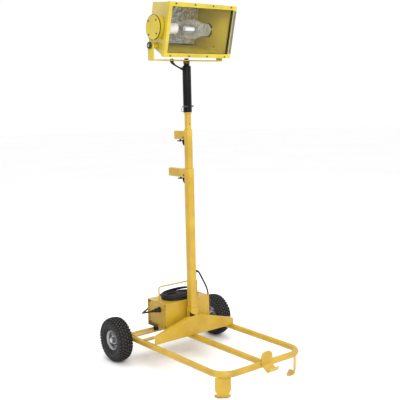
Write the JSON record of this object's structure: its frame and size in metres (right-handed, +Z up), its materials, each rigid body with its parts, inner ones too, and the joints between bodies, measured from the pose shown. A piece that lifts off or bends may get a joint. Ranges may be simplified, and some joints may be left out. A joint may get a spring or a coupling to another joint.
{
  "type": "wheeled floodlight stand",
  "caption": "Two-wheeled floodlight cart: square telescopic mast with trigger latches on a tube frame, ballast box, and a tilting box lamp on a yoke.",
  "frame": {"origin": "on the floor under the middle of the footprint", "axes": "+Z up along the mast, X along the wheel axle, -Y the way the lamp and the base frame point"},
  "size_m": [0.828, 1.0648, 2.0366],
  "materials": {
    "yellow_paint": "satin",
    "lemon_paint": "satin",
    "black_paint": "satin",
    "black_plastic": "matte",
    "zinc_steel": "zinc plated",
    "rim_zinc": "zinc plated",
    "tyre_rubber": "matte",
    "black_rubber": "matte",
    "cable_rubber": "satin",
    "clear_glass": "polished",
    "mirror": "polished",
    "ceramic": "glazed",
    "brass": "worn",
    "dark_steel": "dark",
    "core_steel": "varnished",
    "copper_coil": "varnished",
    "alu_can": "satin",
    "plug_plastic": "matte"
  },
  "bodies": {
    "cart": {"frame_loop": "yellow_paint", "centre_rail": "yellow_paint", "rear_cross_tube": "yellow_paint", "axle": "zinc_steel", "axle_fittings": "zinc_steel", "strap_legs": "yellow_paint", "front_hook": "yellow_paint", "mast_cross_plate": "yellow_paint", "mast_socket": "yellow_paint", "outer_mast_tube": "yellow_paint", "mast_foot_bolt": "zinc_steel", "lower_grip": "yellow_paint", "lower_trigger_pin": "dark_steel", "box_carriers": "yellow_paint", "box_mounts": "black_rubber", "box_base": "yellow_paint", "box_cover": "yellow_paint", "box_end_panels": "yellow_paint", "box_screws": "dark_steel", "box_feet": "zinc_steel", "transformer_core": "core_steel", "transformer_coil": "copper_coil", "capacitor": "alu_can", "box_handle": "yellow_paint", "box_connectors": "black_plastic", "mast_lead": "cable_rubber", "supply_lead": "cable_rubber", "supply_coil": "cable_rubber", "supply_plug": "plug_plastic"},
    "middle_stage": {"middle_mast_tube": "yellow_paint", "upper_grip": "yellow_paint", "upper_trigger_pin": "dark_steel"},
    "upper_stage": {"upper_mast_tube": "yellow_paint", "mast_spigot": "zinc_steel"},
    "swivel": {"pole_adaptor": "black_paint", "yoke": "lemon_paint", "yoke_bolt": "dark_steel", "lamp_lead": "cable_rubber", "lamp_lead_gland": "black_plastic"},
    "head": {"lamp_housing": "lemon_paint", "socket_housing": "lemon_paint", "head_gaskets": "black_rubber", "socket_cap": "lemon_paint", "head_screws": "zinc_steel", "door_frame": "lemon_paint", "lens_glass": "clear_glass", "reflector": "mirror", "lamp_socket": "ceramic", "bulb_base": "brass", "bulb_glass": "clear_glass", "lamp_supports": "dark_steel"},
    "knob_left": {"tilt_knob_left": "black_plastic"},
    "knob_right": {"tilt_knob_right": "black_plastic"},
    "pin": {"hitch_pin": "zinc_steel"},
    "lower_latch": {"lower_trigger": "black_paint"},
    "upper_latch": {"upper_trigger": "black_paint"},
    "wheel_left": {"tyre_left": "tyre_rubber", "rim_left": "rim_zinc"},
    "wheel_right": {"tyre_right": "tyre_rubber", "rim_right": "rim_zinc"}
  },
  "joints": [
    {"name": "wheel_left_spin", "type": "hinge", "parent": "cart", "child": "wheel_left", "pos_m": [-0.37, 0.403, 0.13], "axis": [1, 0, 0], "continuous": true},
    {"name": "wheel_right_spin", "type": "hinge", "parent": "cart", "child": "wheel_right", "pos_m": [0.37, 0.403, 0.13], "axis": [1, 0, 0], "continuous": true},
    {"name": "middle_slide", "type": "slide", "parent": "cart", "child": "middle_stage", "axis": [0, 0, 1], "range_m": [-0.09, 0.6]},
    {"name": "upper_slide", "type": "slide", "parent": "middle_stage", "child": "upper_stage", "axis": [0, 0, 1], "range_m": [-0.09, 0.6]},
    {"name": "lower_trigger_squeeze", "type": "hinge", "parent": "cart", "child": "lower_latch", "pos_m": [0, 0.183, 1.076], "axis": [1, 0, 0], "range_deg": [0, 5], "stiffness_Nm_per_rad": 1, "springref_deg": -17.19},
    {"name": "upper_trigger_squeeze", "type": "hinge", "parent": "middle_stage", "child": "upper_latch", "pos_m": [0, 0.1795, 1.292], "axis": [1, 0, 0], "range_deg": [0, 5], "stiffness_Nm_per_rad": 1, "springref_deg": -17.19},
    {"name": "swivel_pan", "type": "hinge", "parent": "upper_stage", "child": "swivel", "pos_m": [0, 0.152, 1.467], "axis": [0, 0, 1], "range_deg": [-170, 170]},
    {"name": "hitch_pin_pull", "type": "slide", "parent": "swivel", "child": "pin", "axis": [-1, 0, 0], "range_m": [0, 0.07]},
    {"name": "head_tilt", "type": "hinge", "parent": "swivel", "child": "head", "pos_m": [0, 0.152, 1.796], "axis": [1, 0, 0], "range_deg": [-60, 20]},
    {"name": "tilt_knob_left_turn", "type": "hinge", "parent": "head", "child": "knob_left", "pos_m": [-0.25, 0.152, 1.796], "axis": [1, 0, 0], "range_deg": [0, 360]},
    {"name": "tilt_knob_right_turn", "type": "hinge", "parent": "head", "child": "knob_right", "pos_m": [0.25, 0.152, 1.796], "axis": [1, 0, 0], "range_deg": [0, 360]}
  ]
}
